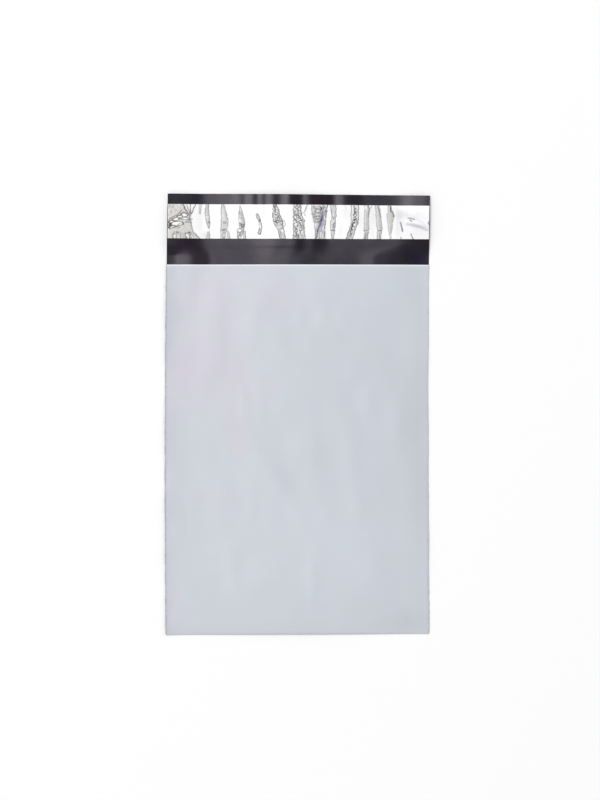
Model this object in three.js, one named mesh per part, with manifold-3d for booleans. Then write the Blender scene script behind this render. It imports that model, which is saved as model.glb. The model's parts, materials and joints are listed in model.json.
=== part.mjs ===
// A poly mailer bag, lying flat and empty on its back with its sealing flap open.
//
// One web of co-extruded film is folded across the bottom and welded along both sides, so that it
// makes a pocket with an open mouth. The back panel runs on past the mouth as the flap. A band of
// pressure-sensitive adhesive lies across the flap, under a release liner that is peeled off to
// seal the bag.
//
// Millimetres, +Z up. X runs across the bag, +Y runs from the bottom fold to the flap's free edge,
// and the origin is under the middle of the whole outline, on the surface that the bag lies on.
// Layers that touch share a plane, so every thickness is a multiple of 1/64 mm, which a 32-bit
// number holds exactly.

import * as THREE from "three";
import { mergeVertices } from "three/addons/utils/BufferGeometryUtils.js";
import Module from "manifold-3d";

const wasm = await Module();
wasm.setup();

// ---------------------------------------------------------------- driving dimensions

const BAG_WIDTH = 190.5;
const POCKET_LENGTH = 266.75;
const FLAP_LENGTH = 50.75;
const FILM = 0.0625;

const WELD_WIDTH = 0.875;
const CREASE_GAP = 0.125; // between the two panels at a weld and at the bottom fold
const POCKET_RISE = 6; // how far trapped air lifts the middle of the front panel

const LINER_WIDTH = 25;
const LINER_FILM = 3 / 64;
const LINER_SETBACK = 7.25; // from the flap's free edge to the liner
const ADHESIVE_WIDTH = 20;
const ADHESIVE_COAT = 1 / 32;

// ---------------------------------------------------------------- derived places

const BAG_LENGTH = POCKET_LENGTH + FLAP_LENGTH;
const WEB_WIDTH = BAG_WIDTH - 2 * WELD_WIDTH;
const FLAT_THICKNESS = 2 * FILM + CREASE_GAP;

const FOLD_Y = -BAG_LENGTH / 2;
const MOUTH_Y = FOLD_Y + POCKET_LENGTH;
const FLAP_END_Y = BAG_LENGTH / 2;
const LINER_Y = FLAP_END_Y - LINER_SETBACK - LINER_WIDTH / 2;

const FOLD_OUTER_RADIUS = FLAT_THICKNESS / 2;
const FOLD_INNER_RADIUS = CREASE_GAP / 2;
const FOLD_CENTRE_Y = FOLD_Y + FOLD_OUTER_RADIUS;

// ---------------------------------------------------------------- the pocket's air

const RISE_RUN = 75; // distance from the bottom fold over which the pocket fills out
const FLATNESS = 3; // the higher, the flatter the middle and the steeper the sides

// Height of the front panel over its flat position: full along the middle and at the mouth, and
// nothing at the welds and at the fold.
function pocketRise(x, y) {
  const across = Math.min(1, Math.abs(x) / (WEB_WIDTH / 2));
  const along = THREE.MathUtils.clamp((y - FOLD_CENTRE_Y) / RISE_RUN, 0, 1);
  return POCKET_RISE * (1 - across ** FLATNESS) * Math.sin((along * Math.PI) / 2);
}

// ---------------------------------------------------------------- profiles in the YZ plane

const ARC_STEPS = 6;
const FRONT_ROWS = 24;
const CROWDING = 1.5; // the higher, the closer the rows lie at the fold

// Half a turn round the bottom fold, from the back panel up to the front panel.
function foldArc(radius) {
  const arc = new THREE.EllipseCurve(
    FOLD_CENTRE_Y,
    FOLD_OUTER_RADIUS,
    radius,
    radius,
    -Math.PI / 2,
    -Math.PI * 1.5,
    true,
  );
  return arc.getPoints(ARC_STEPS);
}

// The front panel's rows at one height, from the fold to the mouth. They crowd together at the
// fold, where the panel curves most.
function frontRows(height) {
  const rows = [];
  for (let row = 1; row <= FRONT_ROWS; row += 1) {
    const share = (row / FRONT_ROWS) ** CROWDING;
    rows.push(new THREE.Vector2(THREE.MathUtils.lerp(FOLD_CENTRE_Y, MOUTH_Y, share), height));
  }
  return rows;
}

// The folded film: the flap's free edge, the outside of the web round to the mouth, and the
// inside of the web back again.
function webProfile() {
  return new THREE.Shape([
    new THREE.Vector2(FLAP_END_Y, 0),
    ...foldArc(FOLD_OUTER_RADIUS),
    ...frontRows(FLAT_THICKNESS),
    ...frontRows(FLAT_THICKNESS - FILM).reverse(),
    ...foldArc(FOLD_INNER_RADIUS).reverse(),
    new THREE.Vector2(FLAP_END_Y, FILM),
  ]);
}

// A side weld: the two panels fused into one bead from the fold to the mouth.
function weldProfile() {
  return new THREE.Shape([
    new THREE.Vector2(MOUTH_Y, 0),
    ...foldArc(FOLD_OUTER_RADIUS),
    new THREE.Vector2(MOUTH_Y, FLAT_THICKNESS),
  ]);
}

// ---------------------------------------------------------------- solids

const MERGE_DISTANCE = 1e-4;

const PROFILE_TO_BAG = new THREE.Matrix4().makeBasis(
  new THREE.Vector3(0, 1, 0),
  new THREE.Vector3(0, 0, 1),
  new THREE.Vector3(1, 0, 0),
);

// A YZ profile carried across the bag from x = start, in the given number of steps.
function acrossBag(profile, start, width, steps) {
  const geometry = new THREE.ExtrudeGeometry(profile, { depth: width, steps, bevelEnabled: false });
  return geometry.applyMatrix4(PROFILE_TO_BAG).translate(start, 0, 0);
}

function toSolid(geometry) {
  const bare = new THREE.BufferGeometry();
  bare.setAttribute("position", geometry.getAttribute("position"));
  const merged = mergeVertices(bare, MERGE_DISTANCE);
  const positions = merged.getAttribute("position").array;
  const triangles = new Uint32Array(merged.index.array);
  return new wasm.Manifold(
    new wasm.Mesh({ numProp: 3, vertProperties: positions, triVerts: triangles }),
  );
}

function toGeometry(solid) {
  const { vertProperties, triVerts } = solid.getMesh();
  const geometry = new THREE.BufferGeometry();
  geometry.setAttribute("position", new THREE.BufferAttribute(vertProperties, 3));
  geometry.setIndex(new THREE.BufferAttribute(triVerts, 1));
  geometry.computeVertexNormals();
  return geometry;
}

// Lifts the front panel off the back panel, both of its faces alike.
function fillWithAir(geometry) {
  const position = geometry.getAttribute("position");
  for (let i = 0; i < position.count; i += 1) {
    if (position.getZ(i) <= FOLD_OUTER_RADIUS) continue;
    position.setZ(i, position.getZ(i) + pocketRise(position.getX(i), position.getY(i)));
  }
  return geometry;
}

const WEB_COLUMNS = 24;

function pouchGeometry() {
  const web = acrossBag(webProfile(), -WEB_WIDTH / 2, WEB_WIDTH, WEB_COLUMNS);
  const leftWeld = acrossBag(weldProfile(), -BAG_WIDTH / 2, WELD_WIDTH, 1);
  const rightWeld = acrossBag(weldProfile(), WEB_WIDTH / 2, WELD_WIDTH, 1);
  const film = toSolid(fillWithAir(web));
  return toGeometry(film.add(toSolid(leftWeld)).add(toSolid(rightWeld)));
}

// A flat strip across the flap, as wide as the web.
function stripGeometry(width, thickness) {
  return new THREE.BoxGeometry(WEB_WIDTH, width, thickness);
}

// ---------------------------------------------------------------- the bag

function namedMesh(name, geometry, material) {
  const mesh = new THREE.Mesh(geometry, new THREE.MeshStandardMaterial(material));
  mesh.name = name;
  return mesh;
}

const pouch = namedMesh("pouch", pouchGeometry(), {
  color: 0xcfd3da,
  roughness: 0.4,
  metalness: 0,
});

const adhesive = namedMesh("adhesive_strip", stripGeometry(ADHESIVE_WIDTH, ADHESIVE_COAT), {
  color: 0xd8d4c8,
  roughness: 0.3,
  metalness: 0,
});
adhesive.position.set(0, LINER_Y, FILM + ADHESIVE_COAT / 2);

const liner = namedMesh("release_liner", stripGeometry(LINER_WIDTH, LINER_FILM), {
  color: 0xf4f4f4,
  roughness: 0.15,
  metalness: 0,
});
liner.position.set(0, LINER_Y, FILM + ADHESIVE_COAT + LINER_FILM / 2);

const mailerBag = new THREE.Group();
mailerBag.add(pouch, adhesive, liner);

export default mailerBag;
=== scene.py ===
"""Looks of a poly mailer bag that lies flat and empty on its back, with its sealing flap open.

The bag is one folded and welded web of film, a stripe of adhesive and a release liner. Each of them
is a class below: its fields are sizes, its shape method makes the mesh and its dress method gives
it its finish. Lengths are millimetres, and become metres where a mesh is written. X runs across the
bag, Y from the bottom fold to the flap's free edge, and Z up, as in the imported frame.
"""

import json
import logging
import math
from dataclasses import dataclass
from enum import Enum
from functools import cached_property

import bmesh
import bpy
import numpy as np
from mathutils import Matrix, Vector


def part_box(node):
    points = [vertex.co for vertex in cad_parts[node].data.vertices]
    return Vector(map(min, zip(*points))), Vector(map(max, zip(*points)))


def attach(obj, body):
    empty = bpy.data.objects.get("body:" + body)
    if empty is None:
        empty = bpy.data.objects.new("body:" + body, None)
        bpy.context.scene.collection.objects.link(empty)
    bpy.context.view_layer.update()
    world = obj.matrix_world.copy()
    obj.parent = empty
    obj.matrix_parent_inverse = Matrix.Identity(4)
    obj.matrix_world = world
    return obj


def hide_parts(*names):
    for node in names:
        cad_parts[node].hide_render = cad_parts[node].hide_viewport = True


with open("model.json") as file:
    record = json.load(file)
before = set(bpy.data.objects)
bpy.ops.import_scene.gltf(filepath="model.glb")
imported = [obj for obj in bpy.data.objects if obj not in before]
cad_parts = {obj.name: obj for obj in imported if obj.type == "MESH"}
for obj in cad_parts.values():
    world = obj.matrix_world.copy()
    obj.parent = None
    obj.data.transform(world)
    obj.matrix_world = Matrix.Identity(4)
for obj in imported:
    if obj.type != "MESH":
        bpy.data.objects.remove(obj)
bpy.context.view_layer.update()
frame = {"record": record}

log = logging.getLogger("mailer_bag")

MM = 0.001
BODY = "root"
FAR = 1e3

Array = np.ndarray


# ------------------------------------------------------------------ curves and soft forms


def ease(share: Array) -> Array:
    """Smooth step: 0 below 0, 1 above 1, and 3s^2 - 2s^3 between."""
    held = np.clip(share, 0.0, 1.0)
    return held * held * (3.0 - 2.0 * held)


def dome(share: Array, power: float = 2.0) -> Array:
    """A climb that starts steep and ends level: 1 - (1 - s)^power, held between 0 and 1."""
    return 1.0 - (1.0 - np.clip(share, 0.0, 1.0)) ** power


def bell(distance: Array, width: float) -> Array:
    """A bell of height 1: e^-(d / width)^2."""
    return np.exp(-((distance / width) ** 2))


def crowded(count: int, ends: float) -> Array:
    """Numbers from -1 to 1 that lie closer together at both ends.

    Args:
        count: how many steps there are.
        ends: 0 for even steps, up to 1 for steps that shrink to nothing at the ends.

    Returns:
        count + 1 numbers: the mix of u and sin(u pi / 2), by ends.
    """
    even = np.linspace(-1.0, 1.0, count + 1)
    return (1.0 - ends) * even + ends * np.sin(even * math.pi / 2)


@dataclass(frozen=True)
class Ripple:
    """A gentle random surface: plane waves in many directions, added up, with a spread of 1."""

    seed: int
    shortest: float
    longest: float
    stretch: float = 1.0
    waves: int = 20

    def height(self, x: Array, y: Array) -> Array:
        """Adds up the waves sin(kx x + ky y + phase), longer along Y by stretch.

        Args:
            x: distance across.
            y: distance along.

        Returns:
            The height at each point.
        """
        draw = np.random.default_rng(self.seed)
        turn = draw.uniform(0.0, 2.0 * math.pi, self.waves)
        length = np.exp(draw.uniform(math.log(self.shortest), math.log(self.longest), self.waves))
        phase = draw.uniform(0.0, 2.0 * math.pi, self.waves)
        k_x = 2.0 * math.pi * np.cos(turn) / length
        k_y = 2.0 * math.pi * np.sin(turn) / (length * self.stretch)
        crests = np.sin(np.multiply.outer(x, k_x) + np.multiply.outer(y, k_y) + phase)
        return crests.sum(axis=-1) * math.sqrt(2.0 / self.waves)


@dataclass(frozen=True)
class Swell:
    """A soft rise, of the film or of its tint: an elliptical bell whose long axis may lean."""

    x: float
    y: float
    across: float
    along: float
    height: float
    lean: float = 0.0

    def lift(self, x: Array, y: Array) -> Array:
        """height e^-(side^2 + up^2), with side measured from an axis that leans by lean per mm.

        Args:
            x: distance across.
            y: distance along.

        Returns:
            The rise at each point.
        """
        up = y - self.y
        side = x - self.x - self.lean * up
        return self.height * bell(side, self.across) * bell(up, self.along)


def total(swells: tuple[Swell, ...], x: Array, y: Array) -> Array:
    """Adds up the rises of some swells at each point."""
    return sum(swell.lift(x, y) for swell in swells)


@dataclass(frozen=True)
class FoldLine:
    """A soft fold that runs up the flap, given at three rows as (x, tilt in degrees).

    The tilt is positive where the film climbs towards the right.
    """

    mouth: tuple[float, float]
    middle: tuple[float, float]
    edge: tuple[float, float]


class Waves:
    """The waves of a panel as a height map, worked out once from its fold lines.

    Between two rows each fold line moves by ease. Along a row the tilt goes evenly from fold line
    to fold line, and the height is the running sum of its tangent.
    """

    COLUMNS = 1201
    ROWS = 61
    LAST_CELL = 1.001

    def __init__(self, folds: tuple[FoldLine, ...], rows: tuple[float, float, float],
                 half_width: float) -> None:
        """Works out the map.

        Args:
            folds: the fold lines, from left to right.
            rows: y of the three rows that they are given at.
            half_width: half the width of the film.
        """
        self.x = np.linspace(-half_width, half_width, self.COLUMNS)
        self.y = np.linspace(rows[0], rows[2], self.ROWS)
        given = np.array([(fold.mouth, fold.middle, fold.edge) for fold in folds])
        upper = ease((self.y - rows[1]) / (rows[2] - rows[1]))
        lower = 1.0 - ease((self.y - rows[0]) / (rows[1] - rows[0]))
        shares = np.stack([lower, 1.0 - lower - upper, upper], axis=-1)
        blended = np.einsum("rk,fkv->rfv", shares, given)
        tilt = np.stack([np.interp(self.x, row[:, 0], row[:, 1]) for row in blended])
        risen = np.cumsum(np.tan(np.radians(tilt)), axis=1) * (self.x[1] - self.x[0])
        self.map = risen - risen.min(axis=1, keepdims=True)

    def height(self, x: Array, y: Array) -> Array:
        """Reads the map at any points, in proportion between its four nearest entries.

        Args:
            x: distance across.
            y: distance along.

        Returns:
            The height at each point.
        """
        last_column, last_row = self.COLUMNS - self.LAST_CELL, self.ROWS - self.LAST_CELL
        column = np.clip((x - self.x[0]) / (self.x[1] - self.x[0]), 0.0, last_column)
        row = np.clip((y - self.y[0]) / (self.y[1] - self.y[0]), 0.0, last_row)
        i, j = row.astype(int), column.astype(int)
        up, right = row - i, column - j
        near = self.map[i, j] * (1.0 - right) + self.map[i, j + 1] * right
        far = self.map[i + 1, j] * (1.0 - right) + self.map[i + 1, j + 1] * right
        return near * (1.0 - up) + far * up


# ------------------------------------------------------------------ sizes from the frame


@dataclass(frozen=True)
class BagSize:
    """The bag's measures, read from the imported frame."""

    half_width: float
    half_web: float
    fold_y: float
    mouth_y: float
    flap_end_y: float
    film: float
    adhesive_y: tuple[float, float]
    adhesive_coat: float
    liner_y: tuple[float, float]
    liner_film: float

    @classmethod
    def from_frame(cls) -> "BagSize":
        """Reads the sizes from the CAD nodes' boxes and from the pocket's stated opening.

        Returns:
            The measures, in millimetres.
        """
        pouch_low, pouch_high = (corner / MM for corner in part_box("pouch"))
        glue_low, glue_high = (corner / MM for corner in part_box("adhesive_strip"))
        liner_low, liner_high = (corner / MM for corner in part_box("release_liner"))
        pocket = frame["record"]["physics"]["openings"][0]["box_m"]
        return cls(
            half_width=pouch_high.x,
            half_web=liner_high.x,
            fold_y=pouch_low.y,
            mouth_y=pocket[1][1] / MM,
            flap_end_y=pouch_high.y,
            film=glue_low.z,
            adhesive_y=(glue_low.y, glue_high.y),
            adhesive_coat=glue_high.z - glue_low.z,
            liner_y=(liner_low.y, liner_high.y),
            liner_film=liner_high.z - liner_low.z,
        )

    @property
    def pocket(self) -> float:
        """The length of the pocket, from the fold to the mouth."""
        return self.mouth_y - self.fold_y

    @property
    def flap(self) -> float:
        """The length of the flap, from the mouth to its free edge."""
        return self.flap_end_y - self.mouth_y


# ------------------------------------------------------------------ how the limp film lies


FLAP_ROWS = (113.2, 123.2, 154.9)

# Each row: the fold line at the mouth, at the middle and at the edge.
FLAP_FOLDS = tuple(FoldLine(*row) for row in (
    ((-94.4, -3.0), (-94.4, -4.0), (-94.4, -3.5)), ((-90.0, -2.2), (-90.0, -4.5), (-85.0, -3.4)),
    ((-86.5, 0.8), (-85.0, -5.5), (-80.0, -4.4)), ((-79.0, 0.0), (-80.0, -7.0), (-76.0, -4.8)),
    ((-73.0, -4.0), (-76.0, -6.5), (-73.0, -4.5)), ((-66.5, -4.2), (-73.0, -5.5), (-70.5, -2.5)),
    ((-61.5, 0.0), (-66.5, -1.0), (-66.0, 0.0)), ((-56.0, -0.5), (-56.0, 0.0), (-57.0, 1.0)),
    ((-50.0, 0.0), (-51.0, -0.5), (-50.0, 1.5)), ((-43.0, 0.0), (-45.0, 0.0), (-45.0, 3.5)),
    ((-38.0, 0.0), (-39.5, 0.0), (-39.9, -0.5)), ((-33.0, 0.5), (-35.0, 0.5), (-36.8, 6.0)),
    ((-29.0, 1.0), (-31.0, 1.5), (-30.9, -2.2)), ((-26.0, 1.5), (-27.0, 2.0), (-27.9, 5.5)),
    ((-23.5, 1.5), (-24.0, 2.0), (-24.9, -1.8)), ((-20.0, 1.5), (-21.0, 2.5), (-22.2, 6.0)),
    ((-16.0, 1.0), (-16.0, 1.5), (-16.5, -2.6)), ((-11.0, 1.5), (-10.5, 0.5), (-10.0, 4.5)),
    ((-7.5, 1.0), (-6.0, 1.0), (-7.4, 2.4)), ((-4.0, 0.0), (-3.0, 0.5), (-4.6, -5.0)),
    ((0.0, 0.0), (1.8, -5.5), (0.8, -5.0)), ((4.0, -0.5), (5.0, -1.5), (3.9, 3.6)),
    ((8.0, -0.5), (9.0, 0.0), (7.2, 0.3)), ((13.0, -0.5), (13.5, -4.0), (10.2, -5.0)),
    ((17.0, 0.0), (19.0, -2.5), (23.0, -4.0)), ((21.0, 0.5), (22.5, 0.5), (27.0, 3.6)),
    ((28.0, 0.5), (30.0, 1.0), (31.0, 3.0)), ((36.0, 0.5), (38.0, 1.0), (33.8, -0.9)),
    ((42.0, 1.0), (50.0, 1.5), (39.5, -4.0)), ((47.5, 2.5), (60.0, 1.5), (43.0, -3.0)),
    ((53.5, 2.5), (66.0, 2.0), (47.5, 0.5)), ((56.5, 0.0), (71.5, 2.0), (66.0, 1.0)),
    ((63.0, 0.0), (75.5, 0.5), (71.0, 2.5)), ((69.0, -1.5), (80.0, -1.0), (79.0, 6.5)),
    ((84.0, -4.0), (88.0, -2.5), (85.0, 4.0)), ((89.0, -2.0), (91.0, -2.5), (88.0, 4.2)),
    ((94.4, 1.0), (94.4, -1.5), (93.0, 2.6)),
))

# Each row: x, y, across, along and height, and the lean where there is one.
FRONT_SWELLS = tuple(Swell(*row) for row in (
    (-58.0, 66.0, 9.0, 24.0, 0.42), (-33.0, 67.0, 8.0, 19.0, 0.40), (1.5, 69.0, 5.0, 10.0, 0.20),
    (19.0, 71.0, 5.0, 11.0, 0.22), (-12.0, 50.0, 5.0, 8.0, 0.16, -0.6),
    (38.0, 28.0, 6.0, 9.0, 0.18), (51.5, 11.0, 6.0, 13.0, 0.22), (73.0, -8.0, 6.0, 16.0, 0.30),
    (-38.5, 9.0, 3.2, 12.0, 0.17), (-25.0, 4.0, 5.0, 10.0, 0.16),
    (42.0, -48.0, 7.5, 48.0, 0.36, -0.12), (12.0, -28.0, 7.0, 34.0, 0.24),
    (-14.0, -46.0, 8.0, 27.0, 0.30, -0.68), (-32.0, -67.5, 4.0, 7.0, 0.17),
    (-46.0, -113.0, 6.0, 16.0, 0.32), (-27.0, -121.0, 7.0, 10.0, 0.24),
    (11.0, -122.0, 5.0, 22.0, 0.30), (55.0, -108.0, 5.0, 10.0, 0.18),
))


# Warm tints of the film, or cool ones where the height is negative. Rows as above.
BLUSHES = tuple(Swell(*row) for row in (
    (-62.0, 88.0, 30.0, 30.0, 0.72), (-66.0, 34.0, 26.0, 30.0, 0.68),
    (-40.0, 14.0, 12.0, 36.0, 0.45), (-40.0, -22.0, 9.0, 14.0, 0.45),
    (-14.0, 86.0, 14.0, 18.0, 0.60), (12.0, 80.0, 12.0, 14.0, 0.40), (40.0, 70.0, 10.0, 14.0, 0.35),
    (-43.0, 85.0, 8.0, 8.0, -0.40), (-18.0, 18.0, 9.0, 12.0, 0.40), (-93.0, -30.0, 7.0, 52.0, 0.55),
    (-62.0, -60.0, 16.0, 14.0, 0.35), (-42.0, -62.0, 9.0, 14.0, 0.30),
    (-92.0, -136.0, 8.0, 20.0, 0.60), (91.6, -25.0, 1.7, 85.0, 0.80),
    (-80.0, 28.0, 12.0, 26.0, 0.40), (10.0, -157.0, 80.0, 2.5, 0.40),
    (-26.5, 118.5, 5.5, 7.0, 1.20), (-83.0, 119.0, 6.0, 6.0, 0.55), (13.0, 156.0, 7.0, 6.0, 0.70),
    (88.0, 112.0, 6.0, 4.5, -0.90), (62.0, 158.5, 14.0, 3.0, -0.75),
    (-6.0, 110.5, 18.0, 4.0, -0.35), (-82.0, 157.0, 16.0, 5.0, -0.25),
    (-77.0, -142.0, 9.0, 10.0, 0.25), (-48.0, -8.0, 9.0, 14.0, 0.30),
))

# Lighter places of the front panel, or darker ones: partly the film's own mottle, and partly painted light
# and painted shade where its slopes, side bands and bottom fold catch or lose light. Rows as above.
MOTTLE_AND_PAINTED_SHADING = tuple(Swell(*row) for row in (
    (32.0, 92.0, 44.0, 26.0, 0.042), (22.0, -90.0, 40.0, 34.0, 0.040),
    (46.0, 8.0, 20.0, 55.0, 0.024), (-2.0, 34.0, 12.0, 50.0, 0.024),
    (-68.0, 0.0, 18.0, 80.0, -0.018), (-50.0, 98.0, 24.0, 18.0, 0.020),
    (-14.0, -70.0, 14.0, 34.0, 0.020), (38.0, -116.0, 30.0, 18.0, 0.016),
    (-44.0, -122.0, 10.0, 16.0, 0.018), (93.0, -15.0, 10.0, 100.0, -0.060),
    (-64.0, 80.0, 8.0, 26.0, 0.014), (-41.0, 65.0, 7.5, 13.0, 0.018),
    (-43.0, 86.0, 7.0, 6.0, -0.008), (-41.5, 8.0, 2.6, 9.0, 0.020), (-22.0, 3.0, 3.5, 9.0, -0.016),
    (-3.5, 68.0, 4.0, 7.0, 0.012), (13.5, 68.0, 3.0, 6.0, 0.014), (33.0, 28.0, 5.0, 4.0, 0.012),
    (46.0, 10.0, 5.0, 9.0, 0.014), (67.0, -12.0, 3.5, 13.0, 0.022), (33.0, -36.0, 2.2, 30.0, 0.014),
    (22.0, -72.0, 17.0, 24.0, 0.010), (-8.0, -50.0, 6.0, 22.0, -0.022, -0.62),
    (19.0, -35.0, 6.0, 26.0, -0.014, -0.15), (-18.0, -124.0, 16.0, 9.0, -0.014),
    (26.0, -115.0, 5.0, 10.0, 0.012), (8.5, -123.0, 2.4, 16.0, 0.020),
    (-50.0, -112.0, 5.0, 11.0, 0.018), (80.0, -146.0, 16.0, 8.0, -0.022),
    (0.0, -159.0, 200.0, 9.0, -0.024), (10.0, 107.0, 52.0, 5.0, 0.028),
    (-79.0, 108.0, 6.0, 6.0, 0.032), (92.0, 100.0, 7.0, 9.0, 0.036), (79.0, 4.0, 7.0, 34.0, -0.026),
    (88.0, -30.0, 2.6, 80.0, -0.012), (-92.0, -86.0, 6.0, 26.0, 0.028),
    (-91.0, -146.0, 6.0, 8.0, 0.034), (32.0, 68.0, 10.0, 13.0, 0.022),
    (-60.0, -140.0, 14.0, 8.0, -0.016), (79.0, -146.0, 6.0, 6.0, -0.024),
    (87.0, -20.0, 8.0, 85.0, -0.030), (38.0, -60.0, 26.0, 95.0, 0.010),
    (15.0, 101.0, 55.0, 8.0, 0.018), (82.0, -151.0, 22.0, 8.0, -0.032),
    (-66.0, -160.0, 30.0, 7.0, -0.042), (-60.0, -124.0, 6.0, 12.0, -0.026),
    (-73.0, -78.0, 6.0, 14.0, -0.022), (-91.0, 103.0, 4.0, 8.0, -0.036),
))


@dataclass(frozen=True)
class Lie:
    """How the limp film lies: the drift of its outline, and its heights over the table."""

    size: BagSize
    bow: float = 1.0
    bow_middle_y: float = -40.0
    bow_reach: float = 150.0
    bow_offset: float = -0.75
    fold_slant: float = 0.0037
    mouth_slant: float = -0.0009
    free_edge_slant: float = -0.0078
    flap_lift: float = 1.2
    flap_lean: float = 0.0075
    flap_clearance: float = 0.05
    free_edge_lift: float = 0.20
    flap_draw: float = 0.0007
    flap_draw_power: float = 1.2
    free_edge_arch: float = 0.30
    waves_start: float = 40.0
    waves_reach: float = 44.0
    air: float = 2.8
    air_at_fold: float = 2.0
    air_power: float = 1.8
    fold_nose: float = 1.6
    weld_gap: float = 0.06
    air_reach_side: float = 84.0
    air_reach_fold: float = 62.0
    left_curl: float = 1.0
    right_curl: float = 0.28
    least_curl: float = 0.1
    curl_spread: float = 0.35
    side_curl_width: float = 7.0
    table_gap: float = 0.10
    table_gap_reach: float = 20.0
    lip_curl: float = 0.45
    lip_curl_width: float = 2.2
    lip_reach: float = 8.0
    front_spread: float = 0.045
    front_reach: float = 14.0
    front_clearance: float = 0.3
    settled: float = 0.8
    settled_reach: float = 60.0
    table_ripple: Ripple = Ripple(11, 24.0, 90.0, stretch=1.6)
    curl_ripple: Ripple = Ripple(12, 30.0, 110.0)
    front_ripple: Ripple = Ripple(13, 16.0, 60.0, stretch=1.8)

    def outline(self, x: Array, y: Array) -> tuple[Array, Array]:
        """Moves points of the flat bag to where they lie on the table.

        The middle line bows sideways as a parabola of y, and each row slants by a little that
        changes evenly from the fold to the mouth and on to the flap's free edge. The flap draws
        in towards the middle, and its free edge arches.

        Args:
            x: distance across the flat bag.
            y: distance along the flat bag.

        Returns:
            x and y on the table.
        """
        size = self.size
        bowed = x + self.bow_offset + self.bow * ((y - self.bow_middle_y) / self.bow_reach) ** 2
        rows = (size.fold_y, size.mouth_y, size.flap_end_y)
        slants = (self.fold_slant, self.mouth_slant, self.free_edge_slant)
        drawn = self.flap_drawn(y)
        arch = self.free_edge_arch * (x / size.half_web) ** 2 * drawn
        held = 1.0 - self.flap_draw * drawn
        return bowed * held, (y + x * np.interp(y, rows, slants)) * held - arch

    @cached_property
    def waves(self) -> Waves:
        """The flap's waves."""
        return Waves(FLAP_FOLDS, FLAP_ROWS, self.size.half_web)

    def flap_drawn(self, y: Array) -> Array:
        """How far the flap's outline has drawn in: s^power, from the mouth to the free edge."""
        return np.clip((y - self.size.mouth_y) / self.size.flap, 0.0, 1.0) ** self.flap_draw_power

    def flap_rise(self, x: Array, y: Array) -> Array:
        """How high the flap is held: most half way along it, and little at its free edge.

        Args:
            x: distance across.
            y: distance along.

        Returns:
            The height that is added to its waves.
        """
        along = (y - self.size.mouth_y) / self.size.flap
        held = ease(2.0 * along) * (1.0 - ease(2.0 * along - 1.0))
        return (self.flap_lift + self.flap_lean * x) * held + self.free_edge_lift * ease(along)

    def flap_share(self, y: Array) -> Array:
        """How much of the flap's waves the back panel has: all from just past the mouth on."""
        return ease((y - self.size.mouth_y + self.waves_start) / self.waves_reach)

    def back_height(self, x: Array, y: Array) -> Array:
        """The underside of the back panel and flap: curled sides, faint ripples, and the waves.

        Args:
            x: distance across.
            y: distance along.

        Returns:
            Its height over the table.
        """
        size = self.size
        side = size.half_web - np.abs(x)
        low = y - size.fold_y
        steady = np.where(x < 0.0, self.left_curl, self.right_curl)
        curl = steady * (1.0 + self.curl_spread * self.curl_ripple.height(x, y))
        curled = np.maximum(curl, self.least_curl) * np.exp(-side / self.side_curl_width)
        ripple = self.table_gap * (1.0 + self.table_ripple.height(x, y))
        panel = curled + np.maximum(ripple, 0.0) * dome(low / self.table_gap_reach)
        to_flap = self.flap_share(y)
        flap = self.flap_clearance + self.waves.height(x, y) + self.flap_rise(x, y)
        return panel * (1.0 - to_flap) + flap * to_flap

    def air_gap(self, x: Array, y: Array) -> Array:
        """The space in the pocket.

        It starts at nothing and level at the welds and climbs by ease, and from the rounded nose
        at the fold it climbs as a dome.

        Args:
            x: distance across.
            y: distance along.

        Returns:
            The gap between the two panels.
        """
        size = self.size
        side = size.half_web - np.abs(x)
        low = y - size.fold_y
        full = self.air_at_fold + (self.air - self.air_at_fold) * ease(low / size.pocket)
        climb = dome(low / self.air_reach_fold, self.air_power)
        lengthwise = self.fold_nose + (full - self.fold_nose) * climb
        return lengthwise * ease(side / self.air_reach_side) + self.weld_gap * dome(side)

    def front_detail(self, x: Array, y: Array) -> Array:
        """Soft swells and ripples of the front panel, and its lip curled up at the mouth.

        The middle of the panel floats on air, so it takes on little of the flap's waves.

        Args:
            x: distance across.
            y: distance along.

        Returns:
            The height that is added to the air gap.
        """
        size = self.size
        side = size.half_web - np.abs(x)
        low = y - size.fold_y
        free = dome(side / self.front_reach) * dome(low / self.front_reach)
        clear = 1.0 - np.exp(-self.air_gap(x, y) / self.front_clearance)
        ripples = self.front_spread * self.front_ripple.height(x, y) * clear
        to_mouth = size.mouth_y - y
        lip = self.lip_curl * np.exp(-to_mouth / self.lip_curl_width) * dome(side / self.lip_reach)
        waved = self.settled * self.waves.height(x, y) * self.flap_share(y)
        return (total(FRONT_SWELLS, x, y) + ripples) * free + lip - waved * ease(side / self.settled_reach)


# ------------------------------------------------------------------ meshes


class Side(Enum):
    """Which finish a face of a piece has: its slot on the piece."""

    OUTSIDE = 0
    INSIDE = 1


def put(name: str, data: bpy.types.ID) -> bpy.types.Object:
    """Makes an object of some data and puts it in the scene.

    Args:
        name: the object's name.
        data: its mesh, light or camera.

    Returns:
        The object, at the origin.
    """
    made = bpy.data.objects.new(name, data)
    bpy.context.scene.collection.objects.link(made)
    return made


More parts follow.
